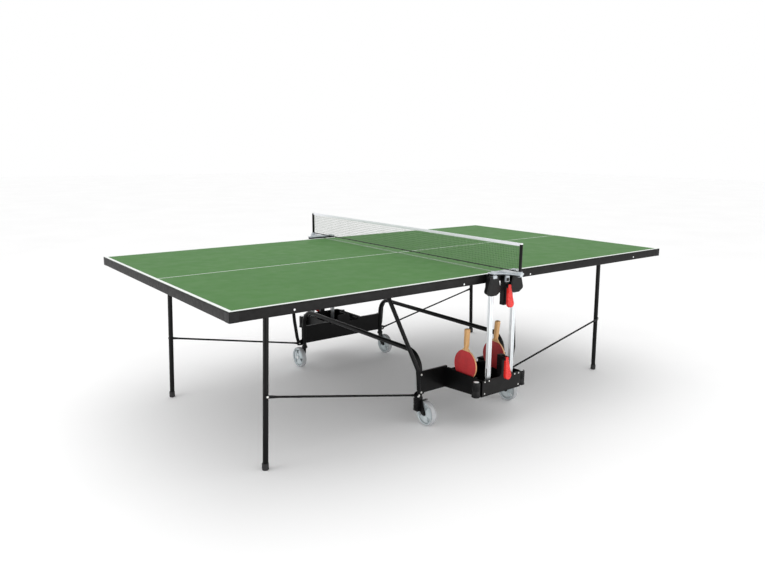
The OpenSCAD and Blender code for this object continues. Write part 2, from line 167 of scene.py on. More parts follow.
def anodised_aluminium():
    """Matt anodised extrusion: pale metal with faint die lines along its length."""
    made, tree, shader, place = start("anodised_aluminium", Metallic=0.85, Base_Color=srgb("d4d8da"))
    lines = noise(tree, place, 1.4, 2, (1, 1, 120))
    tint(tree, shader, lines, 0.25, 0.75, ("c6cbce", "e0e3e4"))
    rough(tree, shader, lines, 0.34, 0.46)
    emboss(tree, shader, lines, 0.02, 0.5)
    return made


def zinc_plate():
    """Bright zinc on steel fasteners: silvery, with cloudy patches of passivation."""
    made, tree, shader, place = start("zinc_plate", Metallic=1.0)
    tint(tree, shader, noise(tree, place, 6, 4), 0.3, 0.7, ("c4c5c2", "e2e2de"))
    rough(tree, shader, noise(tree, place, 3), 0.26, 0.42)
    return made


def woven_cloth(name, colours, thread_mm, rough_at):
    """Plain-woven polyester: two crossed sets of threads, soft and without shine."""
    made, tree, shader, place = start(name, IOR=1.45, Roughness=rough_at, Sheen_Weight=0.25)
    heights = []
    for turn in ((0, 0, 0), (math.pi / 2, 0, 0)):
        turned = add(tree, "Mapping", {"Vector": place}, {"Rotation": turn})
        heights.append(add(tree, "TexWave", {"Vector": turned.outputs[0]},
                           {"Scale": 1 / (2 * thread_mm), "Distortion": 0.6, "Detail": 1.0},
                           bands_direction="Z").outputs["Fac"])
    both = add(tree, "Math", {0: heights[0], 1: heights[1]}, operation="MAXIMUM").outputs[0]
    tint(tree, shader, both, 0.1, 0.9, colours)
    emboss(tree, shader, both, 0.25)
    return made


def twisted_cord(name, colours, pitch_mm):
    """Twisted or braided polyester cord: slanting strands along its length."""
    made, tree, shader, place = start(name, IOR=1.45, Roughness=0.72, Sheen_Weight=0.2)
    turned = add(tree, "Mapping", {"Vector": place}, {"Rotation": (0.7, 0, 0)})
    strands = add(tree, "TexWave", {"Vector": turned.outputs[0]},
                  {"Scale": 1 / (2 * pitch_mm), "Distortion": 0.4}, bands_direction="Y").outputs["Fac"]
    tint(tree, shader, strands, 0.2, 0.8, colours)
    emboss(tree, shader, strands, 0.3)
    return made


def sheet_rubber(name, colours, gloss, dot_mm=2.1):
    """Vulcanised sheet rubber: dull sheen, with the pips of the back showing through faintly."""
    made, tree, shader, place = start(name, IOR=1.52)
    tint(tree, shader, noise(tree, place, 35, 3), 0.3, 0.7, colours)
    rough(tree, shader, noise(tree, place, 14), gloss, gloss + 0.14)
    scaled = add(tree, "VectorMath", {0: place}, {"Scale": 1 / dot_mm}, operation="SCALE").outputs[0]
    pips = add(tree, "TexVoronoi", {"Vector": scaled}, {"Scale": 1.0, "Randomness": 0.15}).outputs["Distance"]
    emboss(tree, shader, pips, 0.05, 0.5)
    return made


def sanded_wood(name, colours, ring_mm, along=(1, 1, 14)):
    """Sanded, thinly lacquered wood: grain lines drawn out along the piece."""
    made, tree, shader, place = start(name, IOR=1.5, Coat_Weight=0.15, Coat_Roughness=0.3)
    grain = noise(tree, place, ring_mm, 5, along)
    tint(tree, shader, grain, 0.32, 0.68, colours)
    rough(tree, shader, grain, 0.42, 0.58)
    emboss(tree, shader, grain, 0.06, 0.5)
    return made


GREEN = melamine_laminate()
WHITE_LINE = line_enamel()
# Pale strip along each board's inner edge at the net: painted highlight, the light caught on the board's edge
# at the joint between the halves.
EDGE_HIGHLIGHT_STRIP = moulded_plastic("pale_edge_highlight", ("8fa48d", "9cb09a"), 0.4, 2.0, 0.03)
BLACK_STEEL = powder_coat("black_powder_coat", ("060606", "0b0b0c"), 0.3)
BLACK_RAIL = powder_coat("rail_powder_coat", ("0b0a0a", "131212"), 0.4)
BLACK_PLASTIC = moulded_plastic("black_abs", ("080809", "101011"), 0.34, shine=0.18)
GREY_NYLON = moulded_plastic("silver_grey_nylon", ("a4abb1", "c3c9cd"), 0.2, 1.4)
WHITE_NYLON = moulded_plastic("white_nylon", ("d9dcdc", "eceeee"), 0.35)
RED_PLASTIC = moulded_plastic("red_abs", ("c2160f", "d82219"), 0.24, 1.6, 0.02)
WHEEL_GREY = moulded_plastic("light_grey_nylon", ("b0babd", "c2cacd"), 0.38)
TYRE_GREY = sheet_rubber("grey_tpr_tread", ("a0a2a4", "b1b3b5"), 0.55, 3.0)
ALUMINIUM = anodised_aluminium()
ZINC = zinc_plate()
FOOT_RUBBER = sheet_rubber("black_rubber", ("161617", "202021"), 0.62, 3.0)
BAT_RUBBER = sheet_rubber("red_bat_rubber", ("a31c20", "b92328"), 0.42)
PLYWOOD = sanded_wood("limba_plywood", ("c9a06a", "e0bd8a"), 2.4)
HANDLE_PALE = sanded_wood("pale_handle_scale", ("b98a52", "cfa26a"), 1.8)
HANDLE_DARK = sanded_wood("dark_handle_stripe", ("6e3d1e", "8a5230"), 1.6)
NET_TWINE = twisted_cord("net_twine", ("2c4c2a", "44643c"), 1.2)
NET_TAPE = woven_cloth("white_net_tape", ("dcdde3", "f2f2f7"), 0.9, 0.7)
NET_CORD = twisted_cord("black_net_cord", ("0d0d0e", "1f1f20"), 2.0)


# ---------------------------------------------------------------- shapes

AXES = {"x": (1, 2, 0), "y": (2, 0, 1), "z": (0, 1, 2)}


def upright(axis, u, v, w):
    """A point u, v across and w along the named axis."""
    point = [0, 0, 0]
    for index, value in zip(AXES[axis], (u, v, w)):
        point[index] = value
    return Vector(point)


def arc(centre, radius, first, last, steps):
    """Points on a circle from one angle to another, in degrees."""
    return [(centre[0] + radius * math.cos(math.radians(first + (last - first) * i / steps)),
             centre[1] + radius * math.sin(math.radians(first + (last - first) * i / steps)))
            for i in range(steps + 1)]


def rounded(points, radius, steps=4):
    """The closed outline with each corner turned into a round of at most radius."""
    made = []
    count = len(points)
    for i, corner in enumerate(points):
        here = Vector(corner)
        before = Vector(points[i - 1]) - here
        after = Vector(points[(i + 1) % count]) - here
        cut = min(radius, before.length * 0.48, after.length * 0.48)
        first = here + before.normalized() * cut
        last = here + after.normalized() * cut
        for step in range(steps + 1):
            t = step / steps
            made.append(tuple(first.lerp(here, t).lerp(here.lerp(last, t), t)))
    return made


def bend_path(points, radius, steps=10):
    """The path with each inner corner rounded to a true bend of the given radius."""
    path = [Vector(points[0])]
    for i in range(1, len(points) - 1):
        here = Vector(points[i])
        before = (Vector(points[i - 1]) - here).normalized()
        after = (Vector(points[i + 1]) - here).normalized()
        angle = before.angle(after)
        turn = math.pi - angle
        if turn < 0.01:
            continue
        reach = min(radius / math.tan(angle / 2), (path[-1] - here).length * 0.98,
                    (Vector(points[i + 1]) - here).length * 0.98)
        bend = reach * math.tan(angle / 2)
        centre = here + (before + after).normalized() * (bend / math.sin(angle / 2))
        spoke = here + before * reach - centre
        axis = spoke.cross(here + after * reach - centre).normalized()
        for step in range(steps + 1):
            path.append(centre + Matrix.Rotation(turn * step / steps, 3, axis) @ spoke)
    path.append(Vector(points[-1]))
    return path


class Piece:
    """Gathers the parts of one piece, in millimetres, and turns them into one object."""

    def __init__(self):
        self.mesh = bmesh.new()
        self.ink = 0

    def _new(self, start_face, bevel, segments):
        """Rounds the sharp edges of the faces made since start_face, and gives them this material."""
        self.mesh.faces.ensure_lookup_table()
        faces = self.mesh.faces[start_face:]
        if bevel:
            edges = list({e for f in faces for e in f.edges if e.is_manifold and e.calc_face_angle(0) > 0.45})
            for face in faces:
                face.tag = True
            old = [f for f in self.mesh.faces if not f.tag]
            bmesh.ops.bevel(self.mesh, geom=edges, offset=bevel, segments=segments, affect="EDGES",
                            clamp_overlap=True)
            kept = set(old)
            faces = [f for f in self.mesh.faces if f not in kept]
        for face in faces:
            face.material_index = self.ink
            face.tag = False
        self.mesh.faces.ensure_lookup_table()
        return self

    def _begin(self):
        for face in self.mesh.faces:
            face.tag = False
        self.mesh.faces.ensure_lookup_table()
        return len(self.mesh.faces)

    def paint(self, index):
        """Parts added from here on take the material of this index."""
        self.ink = index
        return self

    def prism(self, axis, outline, low, high, bevel=0.0, segments=2):
        """An outline drawn across the axis and pushed from low to high along it."""
        begun = self._begin()
        rings = [[self.mesh.verts.new(upright(axis, u, v, w)) for u, v in outline] for w in (low, high)]
        self.mesh.faces.new(rings[0][::-1])
        self.mesh.faces.new(rings[1])
        for i in range(len(outline)):
            j = (i + 1) % len(outline)
            self.mesh.faces.new((rings[0][i], rings[0][j], rings[1][j], rings[1][i]))
        return self._new(begun, bevel, segments)

    def block(self, low, high, bevel=0.0, segments=2):
        return self.prism("z", [(low[0], low[1]), (high[0], low[1]), (high[0], high[1]), (low[0], high[1])],
                          low[2], high[2], bevel, segments)

    def lathe(self, axis, centre, profile, sides=40):
        """A closed profile of (radius, place along the axis) turned round an axis through centre."""
        begun = self._begin()
        rings = []
        for radius, along in profile:
            count = 1 if radius < 1e-6 else sides
            ring = []
            for i in range(count):
                turn = 2 * math.pi * i / sides
                spot = upright(axis, radius * math.cos(turn), radius * math.sin(turn), along)
                ring.append(self.mesh.verts.new(spot + Vector(centre)))
            rings.append(ring)
        closed = profile[0][0] > 1e-6 and profile[-1][0] > 1e-6
        pairs = list(zip(rings, rings[1:])) + ([(rings[-1], rings[0])] if closed else [])
        for one, two in pairs:
            for i in range(sides):
                j = (i + 1) % sides
                corners = [one[i % len(one)], one[j % len(one)], two[j % len(two)], two[i % len(two)]]
                corners = [v for k, v in enumerate(corners) if v not in corners[:k]]
                if len(corners) > 2:
                    self.mesh.faces.new(corners)
        return self._new(begun, 0, 0)

    def sweep(self, path, sections):
        """Rings of (u, v) points carried along a path; sections is one ring or one for each point."""
        begun = self._begin()
        path = [Vector(p) for p in path]
        many = isinstance(sections[0][0], (list, tuple))
        forward = (path[1] - path[0]).normalized()
        side = forward.cross(Vector((0, 0, 1)))
        side = (side if side.length > 0.05 else forward.cross(Vector((0, 1, 0)))).normalized()
        rings = []
        for i, here in enumerate(path):
            ahead = path[min(i + 1, len(path) - 1)] - here
            behind = here - path[max(i - 1, 0)]
            tangent = (ahead.normalized() + behind.normalized()).normalized()
            side = (side - tangent * side.dot(tangent)).normalized()
            other = tangent.cross(side)
            section = sections[i] if many else sections
            rings.append([self.mesh.verts.new(here + side * u + other * v) for u, v in section])
        count = len(rings[0])
        for one, two in zip(rings, rings[1:]):
            for i in range(count):
                j = (i + 1) % count
                self.mesh.faces.new((one[i], one[j], two[j], two[i]))
        self.mesh.faces.new(rings[0][::-1])
        self.mesh.faces.new(rings[-1])
        return self._new(begun, 0, 0)

    def tube(self, points, diameter, bend=0.0, sides=28):
        path = bend_path(points, bend) if bend else [Vector(p) for p in points]
        return self.sweep(path, arc((0, 0), diameter / 2, 0, 360 - 360 / sides, sides - 1))

    def dome(self, axis, centre, radius, height, sides=24):
        """A shallow round head standing on centre, towards +axis for a positive height."""
        profile = [(radius, 0), (radius, 0.35 * height), (0.86 * radius, 0.72 * height),
                   (0.5 * radius, 0.95 * height), (0, height)]
        base = [(0, 0)]
        return self.lathe(axis, centre, base + profile, sides)

    def shift(self, matrix):
        """Turns or moves everything so far."""
        bmesh.ops.transform(self.mesh, matrix=matrix, verts=self.mesh.verts)
        return self

    def copy_mirrored(self, x=False, y=False):
        """Adds the mirror image of everything so far."""
        count = len(self.mesh.verts)
        everything = list(self.mesh.verts) + list(self.mesh.edges) + list(self.mesh.faces)
        made = bmesh.ops.duplicate(self.mesh, geom=everything)
        fresh = [g for g in made["geom"] if isinstance(g, bmesh.types.BMVert)]
        assert len(fresh) == count
        scale = Matrix.Diagonal((-1 if x else 1, -1 if y else 1, 1, 1))
        bmesh.ops.transform(self.mesh, matrix=scale, verts=fresh)
        return self

    def make(self, name, body, materials, nodes=(), flip_x=False, flip_y=False, sharp=32):
        """The finished object, riding on body and standing for the CAD nodes."""
        scale = Matrix.Diagonal((-MM if flip_x else MM, -MM if flip_y else MM, MM, 1))
        bmesh.ops.transform(self.mesh, matrix=scale, verts=self.mesh.verts)
        bmesh.ops.remove_doubles(self.mesh, verts=self.mesh.verts, dist=1e-7)
        bmesh.ops.recalc_face_normals(self.mesh, faces=self.mesh.faces)
        mesh = bpy.data.meshes.new(name)
        self.mesh.to_mesh(mesh)
        self.mesh.free()
        for material in materials if isinstance(materials, (list, tuple)) else [materials]:
            mesh.materials.append(material)
        mesh.shade_smooth()
        mesh.set_sharp_from_angle(angle=math.radians(sharp))
        made = bpy.data.objects.new(name, mesh)
        bpy.context.scene.collection.objects.link(made)
        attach(made, body)
        if nodes:
            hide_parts(*nodes)
        return made


def on_sides(draw):
    """Calls draw for the left and the right side, which is the left one's mirror image."""
    for side, sign in SIDES.items():
        draw(side, sign > 0)


def on_ends(draw):
    for end, sign in ENDS.items():
        draw(end, sign > 0)


# ---------------------------------------------------------------- the two halves (drawn at -X)

BOARD_LOW, BOARD_HIGH = box_mm("left_board")
FRAME_LOW, FRAME_HIGH = box_mm("left_frame")
LINE_W = 16
PAINT_T = 0.15
EDGE_STRIP = 2.5
EDGE_HIGHLIGHT_W = 5.2


def board(side, flip):
    low, high = BOARD_LOW, BOARD_HIGH
    slab = Piece()
    slab.block((low.x + EDGE_STRIP, low.y + EDGE_STRIP, high.z - 1.2),
               (high.x, high.y - EDGE_STRIP, high.z - PAINT_T))
    slab.paint(1)
    edge = rounded([(low.x, low.y), (high.x, low.y), (high.x, high.y), (low.x, high.y)], 4, 3)
    slab.prism("z", edge, low.z, high.z - 0.6, 0.8)
    slab.make(f"{side}_playing_board", f"{side}_half", [GREEN, BLACK_RAIL], [f"{side}_board"], flip_x=flip)
    lines = Piece()
    top = (high.z - PAINT_T, high.z)
    x0, x1 = low.x + EDGE_STRIP, high.x - EDGE_HIGHLIGHT_W - 0.2
    y0, y1 = low.y + EDGE_STRIP, high.y - EDGE_STRIP
    lines.block((x0, y0, top[0]), (x0 + LINE_W, y1, top[1]))
    lines.block((x0 + LINE_W, y0, top[0]), (x1, y0 + LINE_W, top[1]))
    lines.block((x0 + LINE_W, y1 - LINE_W, top[0]), (x1, y1, top[1]))
    lines.block((x0 + LINE_W, -2.6, top[0]), (x1, 2.6, top[1]))
    # The pale raised strip along the inner edge is coloured as painted highlight: it stands for the light on
    # the board's edge at the joint.
    lines.paint(1)
    lines.block((high.x - EDGE_HIGHLIGHT_W, low.y + 4, top[0] - 0.4), (high.x - 0.3, high.y - 4, top[1]))
    lines.make(f"{side}_court_lines", f"{side}_half", [WHITE_LINE, EDGE_HIGHLIGHT_STRIP], flip_x=flip)


def apron_profile():
    """Cross-section of the folded rail: distance inwards from the outer face, and height."""
    bottom, top = FRAME_LOW.z, FRAME_HIGH.z
    outer = rounded([(0.6, top), (0.6, bottom), (12, bottom), (12, bottom + 1.5), (2.1, bottom + 1.5),
                     (2.1, top - 1.5), (25, top - 1.5), (25, top)], 1.6, 3)
    return outer


def apron(side, flip):
    """Folded steel rails round a half, two hat-section cross rails, and the screws that hold the struts."""
    low, high = FRAME_LOW, FRAME_HIGH
    rails = Piece()
    profile = apron_profile()
    corners = [(low.x, low.y, 1, 1), (high.x, low.y, -1, 1), (high.x, high.y, -1, -1), (low.x, high.y, 1, -1)]
    rings = []
    for x, y, inward_x, inward_y in corners:
        rings.append([rails.mesh.verts.new((x + inward_x * d, y + inward_y * d, z)) for d, z in profile])
    count = len(profile)
    for one, two in zip(rings, rings[1:] + rings[:1]):
        for i in range(count):
            j = (i + 1) % count
            rails.mesh.faces.new((one[i], one[j], two[j], two[i]))
    rail_w = 30
    leg_hinge = pivot_mm("left_leg_hinge").x
    strut_hinge = pivot_mm("left_strut_hinge").x
    for start_x in (leg_hinge - 25 - rail_w, strut_hinge - 25 - rail_w):
        bottom = low.z + 9
        hat = rounded([(start_x - 10, high.z - 0.2), (start_x - 10, high.z - 1.7), (start_x, high.z - 1.7),
                       (start_x + 3, bottom), (start_x + rail_w - 3, bottom), (start_x + rail_w, high.z - 1.7),
                       (start_x + rail_w + 10, high.z - 1.7), (start_x + rail_w + 10, high.z - 0.2)], 2)
        flipped = [(z, x) for x, z in hat]
        rails.prism("y", flipped, low.y + 2.2, high.y - 2.2)
    rails.paint(1)
    for y, way in ((low.y + 0.5, -1), (high.y - 0.5, 1)):
        for x in (-225, -1105):
            rails.dome("y", (x, y, 728 if x > -500 else 733), 4.2, 0.45 * way)
    rails.paint(0)
    rails.make(f"{side}_apron", f"{side}_half", [BLACK_RAIL, WHITE_NYLON], [f"{side}_frame"], flip_x=flip)


def corner_caps(side, flip):
    """Moulded caps wrapped round the two outer corners of the rails."""
    low, high = FRAME_LOW, FRAME_HIGH
    caps = Piece()
    wall, reach = 3.0, 38
    for y, way in ((low.y, 1), (high.y, -1)):
        x = low.x
        outline = [(x, y), (x + reach, y), (x + reach, y + way * wall), (x + wall, y + way * wall),
                   (x + wall, y + way * reach), (x, y + way * reach)]
        caps.prism("z", rounded(outline, 2.5), low.z, high.z - 0.3, 0.5)
        caps.block((x + 1, min(y + way, y + way * (reach - 2)), low.z + 0.4),
                   (x + reach - 2, max(y + way, y + way * (reach - 2)), low.z + 2.4), 0.4)
    caps.make(f"{side}_rail_corners", f"{side}_half", BLACK_PLASTIC, [f"{side}_corner_caps"], flip_x=flip)


def hinge_pins(side, flip):
    low, high = box_mm("left_hinge_pins")
    at = pivot_mm("left_fold")
    pins = Piece()
    for way, y_end in ((-1, low.y), (1, high.y)):
        inner = way * 749
        profile = [(0, inner), (8, inner), (8, inner + way * 11), (4.98, inner + way * 11.8),
                   (4.98, y_end - way * 1), (4, y_end), (0, y_end)]
        pins.lathe("y", (at.x, 0, at.z), profile)
    pins.make(f"{side}_fold_pins", f"{side}_half", ZINC, [f"{side}_hinge_pins"], flip_x=flip)


# ---------------------------------------------------------------- legs, rods and struts (drawn at -X)

def leg_frame(side, flip):
    """One bent tube for both legs, whose top bar is the hinge axle."""
    low, high = box_mm("left_leg_frame")
    hinge = pivot_mm("left_leg_hinge")
    radius = 12
    leg_y = high.y - radius
    foot_x = low.x + radius
    foot = (foot_x, -leg_y, 4)
    top = (hinge.x, -leg_y, hinge.z)
    points = [foot, top, (hinge.x, leg_y, hinge.z), (foot_x, leg_y, 4)]
    legs = Piece()
    legs.tube(points, 2 * radius, 60)
    legs.make(f"{side}_leg_tube", f"{side}_legs", BLACK_STEEL, [f"{side}_leg_frame"], flip_x=flip)
    caps = Piece()
    for way in (-1, 1):
        profile = [(0, 0), (12.5, 0), (14.2, 1.5), (14.5, 4), (14.5, 23), (14.1, 24), (14.5, 25), (14.3, 29),
                   (13.2, 30), (12.1, 30), (0, 30)]
        caps.lathe("z", (foot_x - 0.5, way * leg_y, 0), profile)
    caps.make(f"{side}_foot_rubbers", f"{side}_legs", FOOT_RUBBER, [f"{side}_foot_caps"], flip_x=flip)


def flat_eye(steps, round_r, width, thick):
    """Sections that turn from a flattened end into a round rod."""
    sections = []
    for i in range(steps):
        t = i / (steps - 1)
        ease = t * t * (3 - 2 * t)
        half_w = width / 2 * (1 - ease) + round_r * ease
        half_t = thick / 2 * (1 - ease) + round_r * ease
        power = 0.45 * (1 - ease) + ease
        ring = []
        for k in range(20):
            turn = 2 * math.pi * k / 20
            c, s = math.cos(turn), math.sin(turn)
            ring.append((half_t * math.copysign(abs(c) ** power, c),
                         half_w * math.copysign(abs(s) ** power, s)))
        sections.append(ring)
    return sections


EYE_Y = 556.25
LEG_EYE_Y = 548.25


def link_rods(side, flip):
    """Long thin rods with hammered-flat ends from the trolley's pivot to the legs."""
    low, high = box_mm("left_link_rods")
    pivot = pivot_mm("left_link_hinge")
    outer_x, outer_z = low.x + 9, high.z - 9
    rods = Piece()
    start = Vector((pivot.x, EYE_Y, pivot.z))
    end = Vector((outer_x, LEG_EYE_Y, outer_z))
    along = (end - start).normalized()
    eye, steps = 58, 9
    for way in (-1, 1):
        path, sections = [], []
        for i, section in enumerate(flat_eye(steps, 5, 15, 3.5)):
            path.append(start + along * (eye * i / (steps - 1)))
            sections.append(section)
        for i, section in enumerate(reversed(flat_eye(steps, 5, 15, 3.5))):
            path.append(end - along * (eye * (steps - 1 - i) / (steps - 1)))
            sections.append(section)
        path = [Vector((p.x, way * p.y, p.z)) for p in path]
        rods.sweep(path, sections)
        for spot in (start, end):
            rods.lathe("y", (spot.x, way * spot.y, spot.z),
                       [(4.1, -1.75), (9, -1.75), (9, 1.75), (4.1, 1.75)])
    rods.make(f"{side}_stay_rods", f"{side}_links", BLACK_STEEL, [f"{side}_link_rods"], flip_x=flip)
    bolts = Piece()
    for way in (-1, 1):
        face = way * (LEG_EYE_Y + 1.95)
        bolts.dome("y", (end.x, face, end.z), 5.6, way * 4.6)
        bolts.lathe("y", (end.x, 0, end.z), [(0, way * 546.6), (3.9, way * 546.6), (3.9, face), (0, face)])
    bolts.make(f"{side}_stay_bolts", f"{side}_links", ZINC, [f"{side}_rod_bolts"], flip_x=flip)


def strut_frame(side, flip):
    """One bent tube from both trolley pivots up to the hinge bar under the half."""
    hinge = pivot_mm("left_strut_hinge")
    pivot = pivot_mm("left_link_hinge")
    foot = Vector((pivot.x, 572.5, pivot.z))
    knee = Vector((-335, 580, 293))
    top = Vector((hinge.x, 441, hinge.z))
    heel = foot.lerp(knee, 0.26)
    struts = Piece()
    points = []
    for way in (-1, 1):
        leg = [Vector((p.x, way * p.y, p.z)) for p in (heel, knee, top)]
        points += leg if way < 0 else leg[::-1]
    struts.tube(points, 20, 38)
    for way in (-1, 1):
        sections = flat_eye(8, 9.9, 20, 5)
        down = (foot - heel)
        path = [heel + down * (-0.12 + 1.0 * i / 7) for i in range(8)]
        inner = 565.0
        path = [Vector((p.x, way * (p.y + (inner - p.y) * (i / 7) ** 1.5), p.z)) for i, p in enumerate(path)]
        struts.sweep(path, sections[::-1])
        slot = math.radians(-11)
        u = Vector((math.cos(slot), 0, math.sin(slot)))
        n = Vector((-u.z, 0, u.x))
        rim = [foot + n * 13 * math.sin(a) + u * 13 * math.cos(a)
               for a in [math.radians(25 + 310 * k / 24) for k in range(25)]]
        inside = [foot + n * 4.8 * math.sin(a) + u * 4.8 * math.cos(a)
                  for a in [math.radians(270 - 180 * k / 10) for k in range(11)]]
        mouth = [foot + u * 11.8 - n * 4.8, foot + u * 11.8 + n * 4.8]
        outline = [(p.z, p.x) for p in rim + mouth[:1] + inside + mouth[1:]]
        struts.prism("y", outline, min(way * 562.5, way * 567.5), max(way * 562.5, way * 567.5))
    struts.make(f"{side}_strut_tube", f"{side}_struts", BLACK_STEEL, [f"{side}_strut_frame"], flip_x=flip)


# ---------------------------------------------------------------- hinge heads, posts and locks

HEAD_LOW, HEAD_HIGH = box_mm("left_hinge_heads")
POST_Y = 790
HEAD_X = pivot_mm("left_fold").x


def hinge_heads(side, flip):
    """Moulded hexagonal shells that slide on the posts, with the fold pins' blocks behind them."""
    heads = Piece()
    x, top, low = HEAD_X, HEAD_HIGH.z, HEAD_LOW.z
    front, plate = HEAD_HIGH.y, 20
    half = [(27, top), (30, 738), (46, 686), (43, 678), (19, low)]
    outline = half + [(-dx, z) for dx, z in reversed(half)]
    centre_z = low + 42
    for way in (-1, 1):
        def slab(points, near, far, bevel, corner=4):
            shape = rounded([(z, x + dx) for dx, z in points], corner)
            heads.prism("y", shape, min(way * near, way * far), max(way * near, way * far), bevel)
        slab(outline, POST_Y + 8.2, front - 0.8, 1.6)
        slab([(dx * 0.8, centre_z + (z - centre_z) * 0.84) for dx, z in outline], front - 2, front, 0.7)
        for cheek in (-1, 1):
            wing = [(cheek * max(dx, 12.5), z) for dx, z in half]
            slab(wing + [(cheek * 11.3, low), (cheek * 11.3, top)], front - plate, POST_Y + 8.6, 0, 1.2)
            slab([(cheek * 11.3, low + 9), (cheek * 15.4, low + 9), (cheek * 15.4, top), (cheek * 11.3, top)],
                 POST_Y - 9, front - plate + 0.4, 0, 0.8)
        slab([(-15.4, low + 9), (15.4, low + 9), (15.4, top), (-15.4, top)], 765, POST_Y - 8.4, 0.8, 1.5)
        heads.paint(1)
        heads.dome("y", (x, way * (front - 0.5), 726), 4.2, way * 0.5)
        heads.paint(0)
    heads.make(f"{side}_head_shells", f"{side}_heads", [BLACK_PLASTIC, WHITE_NYLON], [f"{side}_hinge_heads"],
               flip_x=flip)


def t_slot_outline(half_w, half_t, slot, depth):
    """Rectangular extrusion with a shallow T-slot in its outer face and in both sides."""
    return rounded([(-half_t, -half_w), (-half_t, -slot), (-half_t + depth, -slot), (-half_t + depth, slot),
                    (-half_t, slot), (-half_t, half_w), (-2.2, half_w), (-2.2, half_w - depth),
                    (2.2, half_w - depth), (2.2, half_w), (half_t, half_w), (half_t, slot),
                    (half_t - depth, slot), (half_t - depth, -slot), (half_t, -slot),
                    (half_t, -half_w), (2.2, -half_w), (2.2, -half_w + depth),
                    (-2.2, -half_w + depth), (-2.2, -half_w)], 0.6, 2)


def posts():
    low, high = box_mm("posts")
    pair = Piece()
    half_t, half_w = 8, 11
    outline = [(HEAD_X + b, POST_Y + a) for a, b in t_slot_outline(half_w, half_t, 3.0, 1.6)]
    pair.prism("z", outline, low.z, high.z)
    pair.paint(1)
    pair.block((HEAD_X - half_w - 0.05, POST_Y - 2.1, 271), (HEAD_X - half_w + 1.7, POST_Y + 2.1, 309), 0.3)
    pair.copy_mirrored(x=True)
    pair.copy_mirrored(y=True)
    pair.make("post_extrusions", "trolley", [ALUMINIUM, BLACK_PLASTIC], ["posts"])


def post_caps():
    low, high = box_mm("post_caps")
    caps = Piece()
    y0, y1 = 766, high.y
    caps.prism("z", rounded([(low.x, y0), (high.x, y0), (high.x, y1 - 6), (high.x - 30, y1), (low.x + 30, y1),
                             (low.x, y1 - 6)], 7), low.z, high.z, 0.9)
    caps.copy_mirrored(y=True)
    caps.make("post_top_plates", "trolley", BLACK_PLASTIC, ["post_caps"])


def net_bracket(end, flip):
    """Wing-shaped moulding that reaches out to the net post, with a clamp pad and a white knob."""
    low, high = box_mm("far_net_bracket")
    wing = Piece()
    scoop = arc((108, 900), 88, 258, 185, 12)
    right = [(x, y) for x, y in scoop if y > 808 and x > 15]
    outline = [(-89, 772), (89, 772), (92, 778), (92, 804)] + right + [(14, 903), (-14, 903)]
    outline += [(-x, y) for x, y in reversed(right)] + [(-92, 804), (-92, 778)]
    wing.prism("z", rounded(outline, 6, 3), low.z + 5.6, high.z - 1.5, 1.8, 3)
    # The black layer under the silver wing is painted shade: it stands for the shaded front face below the lit
    # top.
    wing.paint(2)
    under = [(x * 0.97, 773 + (y - 772) * 0.97) for x, y in outline]
    wing.prism("z", rounded(under, 6, 3), low.z, low.z + 6, 0.8)
    wing.paint(0)
    wing.prism("z", rounded([(-88, 800), (-64, 800), (-60, 811), (-86, 811)], 5, 3), 745, low.z + 2, 2, 3)
    rib = [(-70, 779), (70, 779), (44, 808), (14, 850), (7, 884), (-7, 884), (-14, 850), (-44, 808)]
    wing.prism("z", rounded(rib, 12, 5), high.z - 3, high.z + 1.2, 1.6, 3)
    for x, radius in ((-66, 17), (68, 12)):
        button = [(0, high.z - 3), (radius, high.z - 3), (radius, high.z), (radius * 0.85, high.z + 2.8),
                  (radius * 0.4, high.z + 4.4), (0, high.z + 4.6)]
        wing.lathe("z", (x, 793, 0), button)
    collar = [(0, low.z - 3), (12.5, low.z - 3), (13.5, low.z), (13.5, high.z + 3),
              (11.5, high.z + 9), (8.2, high.z + 10), (7.6, high.z + 2), (0, high.z + 2)]
    wing.lathe("z", (0, 890, 0), collar)
    wing.block((-12, 811, 724), (12, 818, 763), 2.5)
    wing.paint(1)
    wing.dome("y", (17, 889, 769), 5.5, 8)
    wing.paint(2)
    wing.block((-9, 817.6, 727), (9, 819, 742), 0.6)
    wing.make(f"{end}_net_wing", "trolley", [GREY_NYLON, WHITE_NYLON, BLACK_PLASTIC],
              [f"{end}_net_bracket"], flip_y=not flip)


NET_LOW, NET_HIGH = box_mm("net_mesh")
TAPE_LOW, TAPE_HIGH = box_mm("net_tape")
POST_TOP = box_mm("net_posts")[1].z


def net_posts():
    both = Piece()
    shaft = [(0, 769), (7.4, 769), (7.4, POST_TOP - 3), (6.6, POST_TOP - 1), (0, POST_TOP - 1)]
    both.lathe("z", (0, 890, 0), shaft)
    both.paint(1)
    cap = [(0, POST_TOP - 4), (7.9, POST_TOP - 4), (8.1, POST_TOP), (6.6, POST_TOP + 1.6), (0, POST_TOP + 2)]
    both.lathe("z", (0, 890, 0), cap)
    both.copy_mirrored(y=True)
    both.make("net_uprights", "trolley", [BLACK_STEEL, WHITE_NYLON], ["net_posts"])


NET_CELL = 10.0
TWINE = 0.85


def net_hang(y, z):
    """How far the stretched net stands off its plane at a place, in millimetres."""
    return 1.1 * math.sin(y / 71) * math.sin((TAPE_LOW.z - z) / 26) + 0.5 * math.sin(y / 23 + z / 17)


